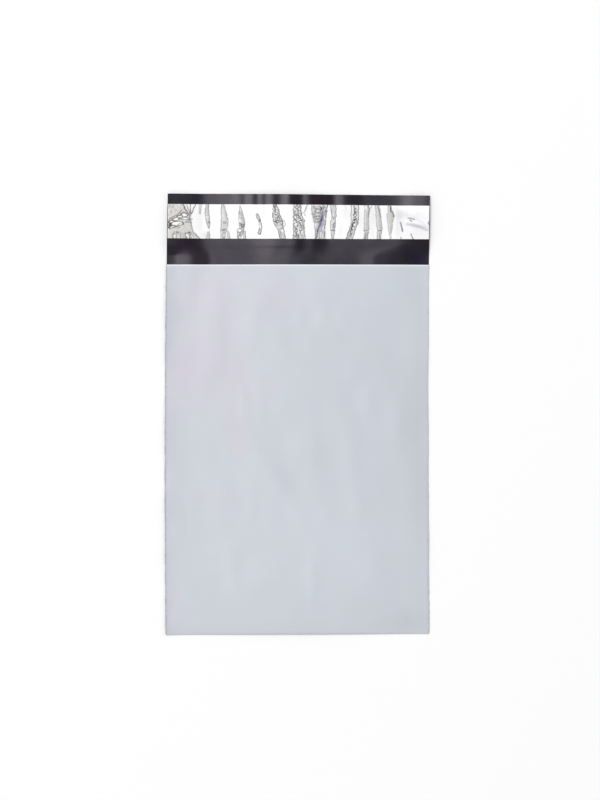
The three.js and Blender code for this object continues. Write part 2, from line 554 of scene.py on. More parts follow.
class Shell:
    """A closed mesh put together from grids of points that share their borders."""

    MERGE_WITHIN = 0.002
    SHARP_FROM = 50.0

    def __init__(self, name: str, masks: tuple[str, ...] = ()) -> None:
        """Starts an empty shell.

        Args:
            name: the piece's name.
            masks: names of the values from 0 to 1 that each point carries for its finish.
        """
        self.name = name
        self.masks = masks
        self.points: list[Array] = []
        self.values: list[Array] = []
        self.faces: list[Array] = []
        self.sides: list[Array] = []
        self.count = 0

    def grid(self, place: tuple[Array, Array, Array], side: Side = Side.OUTSIDE,
             flip: bool = False, **masks: Array) -> None:
        """Adds a grid of points, with a face in each cell.

        Seen with the first index running up and the second running right, the faces point at the
        viewer.

        Args:
            place: x, y and z of the points, as arrays of one shape (rows, columns).
            side: the finish of its faces.
            flip: whether the faces point away from the viewer.
            masks: the points' values, by name. A mask that is left out is 0.
        """
        x, y, z = np.broadcast_arrays(*place)
        rows, columns = x.shape
        index = self.count + np.arange(rows * columns).reshape(rows, columns)
        cell = (index[:-1, :-1], index[:-1, 1:], index[1:, 1:], index[1:, :-1])
        quads = np.stack(cell[::-1] if flip else cell, axis=-1).reshape(-1, 4)
        values = [np.broadcast_to(masks.get(name, 0.0), x.shape) for name in self.masks]
        self.points.append(np.stack([x.ravel(), y.ravel(), z.ravel()], axis=-1))
        self.values.append(np.reshape(values, (len(self.masks), x.size)))
        self.faces.append(quads)
        self.sides.append(np.full(len(quads), side.value))
        self.count += rows * columns

    def make(self) -> bpy.types.Object:
        """Writes the mesh, joins the grids at their borders and smooths it.

        Returns:
            The piece, at the origin, in the scene.
        """
        mesh = bpy.data.meshes.new(self.name)
        points = np.concatenate(self.points) * MM
        mesh.from_pydata(points.tolist(), [], np.concatenate(self.faces).tolist())
        mesh.polygons.foreach_set("material_index", np.concatenate(self.sides))
        for name, values in zip(self.masks, np.concatenate(self.values, axis=1)):
            layer = mesh.attributes.new(name, "FLOAT", "POINT")
            layer.data.foreach_set("value", values.astype(np.float32))
        work = bmesh.new()
        work.from_mesh(mesh)
        bmesh.ops.remove_doubles(work, verts=work.verts, dist=self.MERGE_WITHIN * MM)
        work.to_mesh(mesh)
        work.free()
        mesh.shade_smooth()
        mesh.set_sharp_from_angle(angle=math.radians(self.SHARP_FROM))
        return put(self.name, mesh)


def rim_of(low: Array, high: Array, rim: tuple) -> Array:
    """Stacks one border of a lower and of an upper face, as a grid of two rows."""
    return np.stack([low[rim], high[rim]])


def add_slab(shell: Shell, x: Array, y: Array, low: Array, high: Array, **masks: Array) -> None:
    """Adds a thin closed slab to a shell: a top, a bottom and four rims.

    Args:
        shell: the shell to add to.
        x: x of the grid's points, growing along the columns.
        y: y of the grid's points, growing along the rows.
        low: the height of the underside.
        high: the height of the top.
        masks: values of the points of the top, used all round.
    """
    shell.grid((x, y, high), **masks)
    shell.grid((x, y, low), flip=True, **masks)
    for rim, flip in ((np.s_[0, :], False), (np.s_[-1, :], True),
                      (np.s_[:, 0], True), (np.s_[:, -1], False)):
        place = (rim_of(x, x, rim), rim_of(y, y, rim), rim_of(low, high, rim))
        edge = {name: rim_of(value, value, rim) for name, value in masks.items()}
        shell.grid(place, flip=flip, **edge)


# ------------------------------------------------------------------ shader groups


class Sockets(Enum):
    """Kinds of socket on a shader group."""

    NUMBER = "NodeSocketFloat"
    PLACE = "NodeSocketVector"


Fill = float | tuple | bpy.types.NodeSocket


class Bench:
    """A node tree being wired up."""

    def __init__(self, tree: bpy.types.NodeTree) -> None:
        """Takes the tree to work on."""
        self.tree = tree

    def fill(self, node: bpy.types.Node, inputs: dict[str | int, Fill]) -> None:
        """Links or sets inputs of a node.

        Args:
            node: the node.
            inputs: by socket name or number, an output to link from or a value.
        """
        for name, value in inputs.items():
            if isinstance(value, bpy.types.NodeSocket):
                self.tree.links.new(value, node.inputs[name])
            else:
                node.inputs[name].default_value = value

    def node(self, kind: str, inputs: dict[str | int, Fill] | None = None,
             **settings: object) -> bpy.types.Node:
        """Adds a node, sets it and fills or links its inputs.

        Args:
            kind: the node's type, such as ShaderNodeMix.
            inputs: by socket name or number, an output to link from or a value.
            settings: the node's own properties.

        Returns:
            The new node.
        """
        made = self.tree.nodes.new(kind)
        for name, value in settings.items():
            setattr(made, name, value)
        self.fill(made, inputs or {})
        return made

    def math(self, operation: str, *values: Fill) -> bpy.types.NodeSocket:
        """Adds a Math node and returns its output."""
        made = self.node("ShaderNodeMath", dict(enumerate(values)), operation=operation)
        return made.outputs[0]

    def noise(self, place: bpy.types.NodeSocket, scale: Fill, **inputs: float) -> bpy.types.NodeSocket:
        """Adds a Noise Texture and returns its value."""
        filled = {"Vector": place, "Scale": scale, **inputs}
        return self.node("ShaderNodeTexNoise", filled).outputs["Fac"]

    def mask(self, name: str) -> bpy.types.NodeSocket:
        """The piece's own value from 0 to 1 of that name."""
        return self.node("ShaderNodeAttribute", attribute_name=name).outputs["Fac"]

    def place(self) -> bpy.types.NodeSocket:
        """The point's place on the piece, in metres."""
        return self.node("ShaderNodeTexCoord").outputs["Object"]

    def mix(self, factor: Fill, first: Fill, second: Fill,
            blend: str = "MIX") -> bpy.types.NodeSocket:
        """Mixes two colours.

        Args:
            factor: how much of the second, from 0 to 1.
            first: an output, or a colour of three values.
            second: an output, or a colour of three values.
            blend: the way of mixing.

        Returns:
            The mixed colour.
        """
        made = self.node("ShaderNodeMix", data_type="RGBA", blend_type=blend)
        for socket, value in ((0, factor), (6, first), (7, second)):
            self.fill(made, {socket: (*value, 1.0) if isinstance(value, tuple) else value})
        return made.outputs[2]

    def group(self, tree: bpy.types.NodeTree, inputs: dict[str | int, Fill]) -> bpy.types.Node:
        """Places a shader group, with its inputs."""
        return self.node("ShaderNodeGroup", inputs, node_tree=tree)


def new_group(name: str, inputs: dict[str, tuple[Sockets, float | None]],
              outputs: dict[str, Sockets]) -> tuple[bpy.types.NodeTree, Bench, dict, dict]:
    """Starts a shader group with named inputs and outputs.

    Args:
        name: the group's name.
        inputs: each input's kind and default.
        outputs: each output's kind.

    Returns:
        The group, a bench on it, its inputs as sockets to link from, and its outputs as sockets to
        link to.
    """
    tree = bpy.data.node_groups.new(name, "ShaderNodeTree")
    for label, (kind, default) in inputs.items():
        made = tree.interface.new_socket(label, in_out="INPUT", socket_type=kind.value)
        if default is not None:
            made.default_value = default
    for label, kind in outputs.items():
        tree.interface.new_socket(label, in_out="OUTPUT", socket_type=kind.value)
    entry = tree.nodes.new("NodeGroupInput")
    leave = tree.nodes.new("NodeGroupOutput")
    return tree, Bench(tree), dict(entry.outputs.items()), dict(leave.inputs.items())


def cloud_group() -> bpy.types.NodeTree:
    """Builds the group Cloud, which lets a tone drift over a surface.

    Returns:
        The group: Tone is 1 on average and goes up and down by Depth, in patches of Patch metres.
    """
    tree, bench, given, wanted = new_group(
        "Cloud",
        {"Place": (Sockets.PLACE, None), "Patch": (Sockets.NUMBER, 0.02),
         "Depth": (Sockets.NUMBER, 0.05)},
        {"Tone": Sockets.NUMBER},
    )
    scale = bench.math("DIVIDE", 1.0, given["Patch"])
    noise = bench.noise(given["Place"], scale, Detail=3.0, Roughness=0.55)
    swing = bench.math("MULTIPLY", bench.math("SUBTRACT", noise, 0.5), given["Depth"])
    tree.links.new(bench.math("MULTIPLY_ADD", swing, 2.0, 1.0), wanted["Tone"])
    return tree


def film_skin_group() -> bpy.types.NodeTree:
    """Builds the group Film skin: the fine relief of drawn film.

    Faint lines run along the way the web was drawn, over a fine orange peel and a few soft dents.

    Returns:
        The group: Normal is the relief's normal, and Relief its height, from 0 to about 2.5.
    """
    tree, bench, given, wanted = new_group(
        "Film skin",
        {"Place": (Sockets.PLACE, None), "Lines": (Sockets.NUMBER, 0.3),
         "Depth": (Sockets.NUMBER, 0.00002)},
        {"Normal": Sockets.PLACE, "Relief": Sockets.NUMBER},
    )
    drawn = bench.node("ShaderNodeMapping", {"Vector": given["Place"], "Scale": (1.0, 0.06, 1.0)})
    lines = bench.noise(drawn.outputs[0], scale=900.0, Detail=2.0)
    peel = bench.noise(given["Place"], scale=420.0, Detail=2.0)
    dents = bench.noise(given["Place"], scale=110.0, Detail=1.0)
    fine = bench.math("MULTIPLY_ADD", peel, 0.5, bench.math("MULTIPLY", lines, given["Lines"]))
    relief = bench.math("MULTIPLY_ADD", dents, 1.6, fine)
    bump = bench.node("ShaderNodeBump",
                      {"Strength": 1.0, "Distance": given["Depth"], "Height": relief})
    tree.links.new(bump.outputs[0], wanted["Normal"])
    tree.links.new(relief, wanted["Relief"])
    return tree


CLOUD = cloud_group()
FILM_SKIN = film_skin_group()


def mottled(bench: Bench, place: bpy.types.NodeSocket, colour: Fill, patch: float,
            depth: float) -> bpy.types.NodeSocket:
    """A colour whose tone drifts up and down by depth, in patches of patch metres."""
    cloud = bench.group(CLOUD, {"Place": place, "Patch": patch, "Depth": depth})
    return bench.mix(1.0, colour, cloud.outputs["Tone"], blend="MULTIPLY")


# ------------------------------------------------------------------ finishes


Colour = tuple[float, float, float]


def new_material(name: str) -> tuple[bpy.types.Material, Bench, bpy.types.Node]:
    """Starts a material with one Principled shader.

    Args:
        name: the material's name.

    Returns:
        The material, a bench on its tree, and its shader.
    """
    made = bpy.data.materials.new(name)
    made.use_nodes = True
    shader = made.node_tree.nodes["Principled BSDF"]
    return made, Bench(made.node_tree), shader


@dataclass(frozen=True)
class FilmFinish:
    """One face of the co-extruded film: satin, faintly cloudy, with fine draw lines."""

    name: str
    colour: Colour
    warm: Colour
    cool: Colour
    weld_colour: Colour
    hue_drift: float
    roughness: float
    cloud_depth: float
    relief_depth: float
    # The tone of the lip: painted highlight where the curled lip catches light.
    cut_tone: float
    gloss_tint: Colour

    def build(self) -> bpy.types.Material:
        """Wires the finish: clouded colour, darker along the side welds, and a lighter tone along the lip
        that is painted highlight, where the curled lip catches light.

        Returns:
            The material.
        """
        made, bench, shader = new_material(self.name)
        place = bench.place()
        broad = bench.group(CLOUD, {"Place": place, "Patch": 0.034, "Depth": self.cloud_depth})
        small = bench.group(CLOUD, {"Place": place, "Patch": 0.007,
                                    "Depth": self.cloud_depth * 0.45})
        hue = bench.noise(place, scale=38.0, Detail=2.0)
        blush = bench.mask("blush")
        warmth = bench.math("MULTIPLY_ADD", hue, self.hue_drift, blush)
        warmed = bench.mix(warmth, self.colour, self.warm)
        tinted = bench.mix(bench.math("MULTIPLY", blush, -1.0), warmed, self.cool)
        cloudy = bench.math("MULTIPLY", broad.outputs["Tone"], small.outputs["Tone"])
        # The tone mask adds the front's patches, partly film mottle and partly painted light and painted
        # shade, and the painted shade of the bottom fold.
        tone = bench.math("ADD", cloudy, bench.mask("tone"))
        clouded = bench.mix(1.0, tinted, tone, blend="MULTIPLY")
        weld_darkened = mottled(bench, place, self.weld_colour, patch=0.0021, depth=0.6)
        welded = bench.mix(bench.mask("weld"), clouded, weld_darkened)
        # The lip gets a lighter tone: painted highlight.
        cut = bench.mix(bench.mask("cut"), welded, (self.cut_tone,) * 3)
        skin = bench.group(FILM_SKIN, {"Place": place, "Lines": 0.35,
                                       "Depth": self.relief_depth})
        worn = bench.math("MULTIPLY_ADD", skin.outputs["Relief"], 0.05, self.roughness - 0.06)
        bench.fill(shader, {"Base Color": cut, "Normal": skin.outputs["Normal"],
                            "Roughness": worn, "IOR": 1.51,
                            "Specular Tint": (*self.gloss_tint, 1.0)})
        return made


@dataclass(frozen=True)
class AdhesiveFinish:
    """Clear hot-melt adhesive: amber, wet-looking, and faintly pebbled by its coating roller."""

    name: str = "hot melt adhesive"
    colour: Colour = (0.42, 0.36, 0.26)
    roughness: float = 0.16

    def build(self) -> bpy.types.Material:
        """Wires the finish: a mottled colour over fine pebbles.

        Returns:
            The material.
        """
        made, bench, shader = new_material(self.name)
        place = bench.place()
        pebbles = bench.node("ShaderNodeTexVoronoi", {"Vector": place, "Scale": 1400.0})
        bump = bench.node("ShaderNodeBump", {"Strength": 0.5, "Distance": 0.00004,
                                             "Height": pebbles.outputs["Distance"]})
        colour = mottled(bench, place, self.colour, patch=0.004, depth=0.25)
        bench.fill(shader, {"Base Color": colour, "Normal": bump.outputs[0],
                            "Roughness": self.roughness})
        return made


@dataclass(frozen=True)
class LinerFinish:
    """Silvery release film: white where it is stuck down, grey where it has lifted."""

    name: str = "silicone release film"
    stuck: Colour = (0.90, 0.90, 0.905)
    lifted: Colour = (0.535, 0.535, 0.530)
    beige: Colour = (0.62, 0.59, 0.545)
    # The dark lines: painted shade in creases, along tunnel walls and round flake rims, and the dark crack
    # lines.
    line: Colour = (0.030, 0.027, 0.032)
    blue: Colour = (0.19, 0.175, 0.33)
    haze: Colour = (0.46, 0.46, 0.54)
    roughness: float = 0.17

    def build(self) -> bpy.types.Material:
        """Wires the finish: lifted tone, haze, a blue streak, dark crack lines and dark lines of painted
        shade in creases, along tunnel walls and round flake rims.

        Returns:
            The material.
        """
        made, bench, shader = new_material(self.name)
        place = bench.place()
        white = mottled(bench, place, self.stuck, patch=0.012, depth=0.035)
        hazed = bench.mix(bench.mask("haze"), white, self.haze)
        lifted = bench.mix(bench.mask("beige"), self.lifted, self.beige)
        spotted = mottled(bench, place, lifted, patch=0.0016, depth=0.16)
        toned = bench.mix(bench.mask("lifted"), hazed, spotted)
        tinted = bench.mix(bench.mask("blue"), toned, self.blue)
        # The dark lines: painted shade in creases, along tunnel walls and round flake rims, and the dark
        # crack lines.
        shade_lined = bench.mix(bench.mask("line"), tinted, self.line)
        skin = bench.group(FILM_SKIN, {"Place": place, "Lines": 0.2, "Depth": 0.000012})
        bench.fill(shader, {"Base Color": shade_lined, "Normal": skin.outputs["Normal"],
                            "Roughness": self.roughness, "IOR": 1.5})
        return made


# ------------------------------------------------------------------ the film web


@dataclass
class FilmPouch:
    """The folded and welded web of film: back panel, flap, bottom fold and front panel."""

    size: BagSize
    lie: Lie
    columns: int = 170
    flap_rows: int = 48
    pocket_rows: int = 102
    nose_rows: int = 8
    crowding: tuple[float, float] = (0.45, 0.55)
    detail_reach: float = 4.0
    least_gap: float = 0.6
    weld_fade: float = 0.5
    weld_dark: tuple[float, float] = (0.95, 0.4)
    # How far the lip's painted highlight reaches down the front panel.
    cut_fade: float = 0.55
    fold_inset: float = 1.70
    nose_depth: float = 1.20
    # Painted shade on the rounded bottom fold, which turns away from the light.
    fold_painted_shade: float = -0.075
    lip_inset: float = 0.05
    bead_steps: int = 8
    bead_swell: float = 0.08
    bead_width: float = 0.45
    bead_least: float = 0.08
    bead_spread: float = 0.09
    bead_low_from: float = 30.0
    bead_low_reach: float = 60.0
    bead_low: float = 0.50
    bead_knot: Swell = Swell(0.0, -138.0, 1.0, 16.0, 0.30)
    bead_thin: float = 0.20
    bead_ripples: tuple[Ripple, Ripple] = (Ripple(22, 3.0, 24.0), Ripple(21, 3.0, 24.0))
    outside: FilmFinish = FilmFinish(
        name="film outside", colour=(0.5145, 0.5570, 0.6020), warm=(0.546, 0.528, 0.600),
        cool=(0.500, 0.556, 0.620),
        weld_colour=(0.36, 0.37, 0.40), hue_drift=0.30, roughness=0.40, cloud_depth=0.022,
        relief_depth=0.000016, cut_tone=0.86, gloss_tint=(1.0, 1.0, 1.0))
    inside: FilmFinish = FilmFinish(
        name="film inside", colour=(0.0098, 0.0088, 0.0130), warm=(0.0165, 0.0080, 0.0175),
        cool=(0.0080, 0.0075, 0.0270),
        weld_colour=(0.012, 0.010, 0.013), hue_drift=0.30, roughness=0.23, cloud_depth=0.10,
        relief_depth=0.000010, cut_tone=0.05, gloss_tint=(0.93, 0.875, 0.985))

    def layers(self, x: Array, y: Array) -> tuple[Array, Array, Array, Array]:
        """Works out the heights of the film's four faces.

        Args:
            x: distance across.
            y: distance along.

        Returns:
            The heights: back outside, back inside, front inside and front outside.
        """
        film = self.size.film
        back = self.lie.back_height(x, y)
        air = self.lie.air_gap(x, y)
        side = self.size.half_web - np.abs(x)
        detail = self.lie.front_detail(x, y) * dome(side / self.detail_reach)
        least = self.least_gap * self.lie.weld_gap * dome(side)
        front = back + film + np.maximum(air + detail, least)
        return back, back + film, front, front + film

    def shape(self) -> bpy.types.Object:
        """Builds the web as one closed shell.

        Rows run along the web: from the flap's free edge down the back panel, round the fold and
        up the front panel to the lip. The side welds join the two panels' borders. The back of the
        bag is plain, and only the front and the flap's inner side have tones and tints; the front's
        tones are partly painted light and painted shade.

        Returns:
            The piece.
        """
        size = self.size
        across = size.half_web * crowded(self.columns, self.crowding[0])
        first_y = size.fold_y + self.fold_inset
        last_y = size.mouth_y - self.lip_inset
        middle_y, reach_y = (first_y + last_y) / 2.0, (last_y - first_y) / 2.0
        pocket_y = middle_y + reach_y * crowded(self.pocket_rows, self.crowding[1])
        flap_y = np.linspace(last_y, size.flap_end_y, self.flap_rows + 1)
        x, y = np.meshgrid(across, pocket_y)
        x_flap, y_flap = np.meshgrid(across, flap_y)
        back, back_in, front_in, front = self.layers(x, y)
        flap_low, flap_high = self.layers(x_flap, y_flap)[:2]

        shell = Shell("pouch_film", ("weld", "cut", "blush", "tone"))
        weld = self.weld(x)
        # Painted highlight along the lip, where the curled edge catches light.
        cut = np.exp(-(last_y - y) / self.cut_fade)
        self.add(shell, x, y, back, flip=True, weld=weld)
        # The front carries its tone patches: partly film mottle, partly painted light and painted shade.
        self.add(shell, x, y, front, weld=weld, cut=cut, blush=total(BLUSHES, x, y),
                 tone=total(MOTTLE_AND_PAINTED_SHADING, x, y))
        self.add(shell, x, y, back_in, side=Side.INSIDE, weld=weld)
        self.add(shell, x, y, front_in, side=Side.INSIDE, flip=True, weld=weld)
        self.add(shell, x_flap, y_flap, flap_low, flip=True)
        self.add(shell, x_flap, y_flap, flap_high, side=Side.INSIDE,
                 blush=total(BLUSHES, x_flap, y_flap))
        self.add_nose(shell, across, back, front, back_in, front_in)
        for rim, flip in ((np.s_[-1, :], True), (np.s_[:, 0], True), (np.s_[:, -1], False)):
            self.add(shell, rim_of(x_flap, x_flap, rim), rim_of(y_flap, y_flap, rim),
                     rim_of(flap_low, flap_high, rim), flip=flip)
        # The lip's edge face is all painted highlight.
        lip = np.s_[-1, :]
        self.add(shell, rim_of(x, x, lip), rim_of(y, y, lip), rim_of(front_in, front, lip),
                 flip=True, cut=1.0)
        for edge in (0, -1):
            self.add_bead(shell, x[:, edge], y[:, edge], back[:, edge], front[:, edge],
                          back_in[-1, edge])
        return shell.make()

    def add(self, shell: Shell, x: Array, y: Array, z: Array, **rest: Array | float | Side | bool) -> None:
        """Adds a grid of the flat bag to the shell, at the place where it lies."""
        shell.grid((*self.lie.outline(x, y), z), **rest)

    def sealed(self, x: Array) -> Array:
        """How dark the welds are: the left one is darker than the right one."""
        return np.where(x < 0.0, *self.weld_dark)

    def weld(self, x: Array) -> Array:
        """How much of a weld's tone the film has, which fades away from the weld."""
        return np.exp(-(self.size.half_web - np.abs(x)) / self.weld_fade) * self.sealed(x)

    def nose(self, x: Array, low: Array, high: Array,
             depth: float) -> tuple[Array, Array, Array]:
        """Half ellipses round the fold: y = row - depth cos a and z = middle + half rise sin a.

        Args:
            x: distance across.
            low: the height where the film enters the fold.
            high: the height where it leaves the fold.
            depth: how far the fold reaches past its first row.

        Returns:
            x, y and z of the points, with the angle running along the rows.
        """
        angle = np.linspace(-math.pi / 2, math.pi / 2, self.nose_rows + 1)[:, None]
        z = (low + high) / 2.0 + (high - low) / 2.0 * np.sin(angle)
        y = self.size.fold_y + self.fold_inset - depth * np.cos(angle)
        return np.broadcast_to(x, z.shape), np.broadcast_to(y, z.shape), z

    def add_nose(self, shell: Shell, x: Array, back: Array, front: Array, back_in: Array,
                 front_in: Array) -> None:
        """Adds the film's way round the bottom fold, outside and inside.

        Args:
            shell: the shell to add to.
            x: distance across.
            back: heights of the back panel's outside.
            front: heights of the front panel's outside.
            back_in: heights of the back panel's inside.
            front_in: heights of the front panel's inside.
        """
        outer = self.nose(x, back[0], front[0], self.nose_depth)
        inner = self.nose(x, back_in[0], front_in[0], self.nose_depth - self.size.film)
        # The outer nose is darkened by painted shade.
        self.add(shell, *outer, weld=self.weld(x), tone=self.fold_painted_shade)
        self.add(shell, *inner, side=Side.INSIDE, flip=True)

    def bead_widths(self, x: Array, y: Array, outward: float) -> Array:
        """How far a side weld stands out, row by row: the hot knife left it uneven.

        Args:
            x: the web's border, row by row.
            y: the rows.
            outward: 1 on the right side and -1 on the left, which is even but for its ripple.

        Returns:
            The width of the bead in each row.
        """
        ragged = self.bead_ripples[int(outward > 0)].height(x, y)
        lower = ease((self.bead_low_from - y) / self.bead_low_reach)
        knot = self.bead_knot
        bulge = self.bead_low * lower + knot.height * bell(y - knot.y, knot.along) - self.bead_thin
        width = self.bead_width + bulge * ease(outward) + self.bead_spread * ragged
        return np.maximum(width, self.bead_least)

    def add_bead(self, shell: Shell, x: Array, y: Array, low: Array, high: Array,
                 crease: float) -> None:
        """Adds one side weld: a flat bead round the borders of both panels, and its two ends.

        A section of it is x = web + w cos a and z = middle + (film + swell cos a) sin a, with a
        width w that changes from row to row.

        Args:
            shell: the shell to add to.
            x: the web's border, row by row.
            y: the rows.
            low: the underside of the back panel there.
            high: the top of the front panel there.
            crease: the height of the inside of the film at the mouth.
        """
        outward = math.copysign(1.0, x[0])
        angle = np.linspace(-math.pi / 2, math.pi / 2, self.bead_steps + 1)
        width = self.bead_widths(x, y, outward)[:, None]
        x_bead = x[:, None] + outward * width * np.cos(angle)
        y_bead = np.broadcast_to(y[:, None], x_bead.shape)
        swollen = ((high - low) / 2.0)[:, None] + self.bead_swell * np.cos(angle)
        z_bead = (low + high)[:, None] / 2.0 + swollen * np.sin(angle)
        bead = (x_bead, y_bead, z_bead)
        tip = [np.full_like(x_bead[-1], value) for value in (x[-1], y[-1], crease)]
        nose = [part[:, 0] for part in self.nose(x[:1], low[:1], high[:1], self.nose_depth)]
        end = [np.stack([part[-1], there]) for part, there in zip(bead, tip)]
        start = [np.stack([there, part[0]]) for part, there in zip(bead, nose)]
        for grid in (bead, end, start):
            self.add(shell, *grid, flip=outward > 0, weld=self.sealed(grid[0]))

    def dress(self, piece: bpy.types.Object) -> None:
        """Gives the film its two faces and ties the piece to the frame.

        Args:
            piece: the web.
        """
        piece.data.materials.append(self.outside.build())
        piece.data.materials.append(self.inside.build())
        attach(piece, BODY)
        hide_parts("pouch")


# ------------------------------------------------------------------ the adhesive


@dataclass
class AdhesiveStripe:
    """The stripe of hot-melt adhesive across the flap."""

    size: BagSize
    lie: Lie
    columns: int = 270
    rows: int = 24
    side_inset: float = 1.1
    waver: float = 0.25
    edge_ripple: Ripple = Ripple(31, 6.0, 50.0)
    finish: AdhesiveFinish = AdhesiveFinish()

    def shape(self) -> bpy.types.Object:
        """Builds the stripe as a thin slab that follows the flap, with softly uneven edges.

        Returns:
            The piece.
        """
        size = self.size
        low_y, high_y = size.adhesive_y
        half = size.half_web - self.side_inset
        x, share = np.meshgrid(np.linspace(-half, half, self.columns + 1),
                               np.linspace(0.0, 1.0, self.rows + 1))
        wavered = self.waver * self.edge_ripple.height(x, np.zeros_like(x))
        y = low_y + wavered + (high_y - low_y) * share
        floor = self.lie.back_height(x, y) + size.film
        shell = Shell("adhesive_coat")
        add_slab(shell, *self.lie.outline(x, y), floor, floor + size.adhesive_coat)
        return shell.make()

    def dress(self, piece: bpy.types.Object) -> None:
        """Gives the stripe its finish and ties it to the frame.

        Args:
            piece: the stripe.
        """
        piece.data.materials.append(self.finish.build())
        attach(piece, BODY)
        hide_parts("adhesive_strip")


# ------------------------------------------------------------------ the release liner


@dataclass(frozen=True)
class CrackNet:
    """A net of crooked lines, as between the stones of crazy paving.

    Each cell of a square lattice holds one seed at a random place. A point lies on a line where
    its nearest and second nearest seeds are equally far away.
    """

    CELLS = (256, 64)
    SHIFT = 50.0

    seed: int
    across: float
    along: float
    width: float
    crook: float

    def trace(self, x: Array, y: Array) -> tuple[Array, Array]:
        """Traces the net at some points.

        Args:
            x: distance across.
            y: distance along.

        Returns:
            1 on a line and 0 away from it, and a number from 0 to 1 that is the same all over a
            stone.
        """
        warp = Ripple(self.seed, self.across, 3.0 * self.across)
        u = (x + self.crook * warp.height(x, y)) / self.across
        v = (y + self.crook * warp.height(y + self.SHIFT, x)) / self.along
        seeds = np.random.default_rng(self.seed).random((3, *self.CELLS))
        first = np.full(x.shape, FAR)
        second = np.full(x.shape, FAR)
        stone = np.zeros(x.shape)
        for step_u in (-1, 0, 1):
            for step_v in (-1, 0, 1):
                cell_u = np.floor(u).astype(int) + step_u
                cell_v = np.floor(v).astype(int) + step_v
                drawn = seeds[:, cell_u % self.CELLS[0], cell_v % self.CELLS[1]]
                away = np.hypot(cell_u + drawn[0] - u, cell_v + drawn[1] - v)
                stone = np.where(away < first, drawn[2], stone)
                second = np.minimum(second, np.maximum(first, away))
                first = np.minimum(first, away)
        return bell(0.5 * (second - first) * self.across, self.width), stone


@dataclass(frozen=True)
class Tunnel:
    """A place where the liner has lifted off the adhesive, from (down, left, right) stations.

    down is the distance from the liner's upper edge, and left and right are measured from the
    middle of the flap. A tunnel that reaches the liner's edge is open there.
    """

    stations: tuple[tuple[float, float, float], ...]
    tone: float = 1.0
    crackle: float = 0.3
    outline: float = 0.7
    beige: float = 0.0
    height: float = 0.45

    def inside(self, x: Array, down: Array) -> Array:
        """How far inside the tunnel a point is: the nearer of its two walls, and of its ends.

        Args:
            x: distance across.
            down: distance from the liner's upper edge.

        Returns:
            The distance, negative outside.
        """
        places, left, right = np.array(self.stations).T
        walls = np.minimum(x - np.interp(down, places, left), np.interp(down, places, right) - x)
        top = FAR if places[0] <= 0.0 else down - places[0]
        foot = FAR if places[-1] >= LINER_LENGTH else places[-1] - down
        return np.minimum(walls, np.minimum(top, foot))


@dataclass(frozen=True)
class Island:
    """A white flake that is stuck down inside a tunnel, with a dark rim of painted shade: a leaning
    ellipse.
    """

    x: float
    down: float
    across: float
    along: float
    rim: float
    lean: float = 0.0

    def share(self, x: Array, down: Array) -> Array:
        """How far out a point is, as a share of the way to the rim."""
        below = down - self.down
        return np.hypot((x - self.x - self.lean * below) / self.across, below / self.along)


@dataclass(frozen=True)
class Pleat:
    """A thin dark crease line of painted shade in the liner through (x, down) points."""

    dark: float
    width: float
    points: tuple[tuple[float, float], ...]

    def near(self, x: Array, down: Array) -> Array:
        """A bell of the distance to the line's nearest segment.

        Args:
            x: distance across.
            down: distance from the liner's upper edge.

        Returns:
            Its painted shade on the line, and 0 away from it.
        """
        nearest = np.full(x.shape, FAR)
        for (x_0, d_0), (x_1, d_1) in zip(self.points, self.points[1:]):
            run_x, run_d = x_1 - x_0, d_1 - d_0
            along = ((x - x_0) * run_x + (down - d_0) * run_d) / (run_x ** 2 + run_d ** 2)
            held = np.clip(along, 0.0, 1.0)
            away = np.hypot(x - x_0 - held * run_x, down - d_0 - held * run_d)
            nearest = np.minimum(nearest, away)
        return self.dark * bell(nearest, self.width)


LINER_LENGTH = 25.0

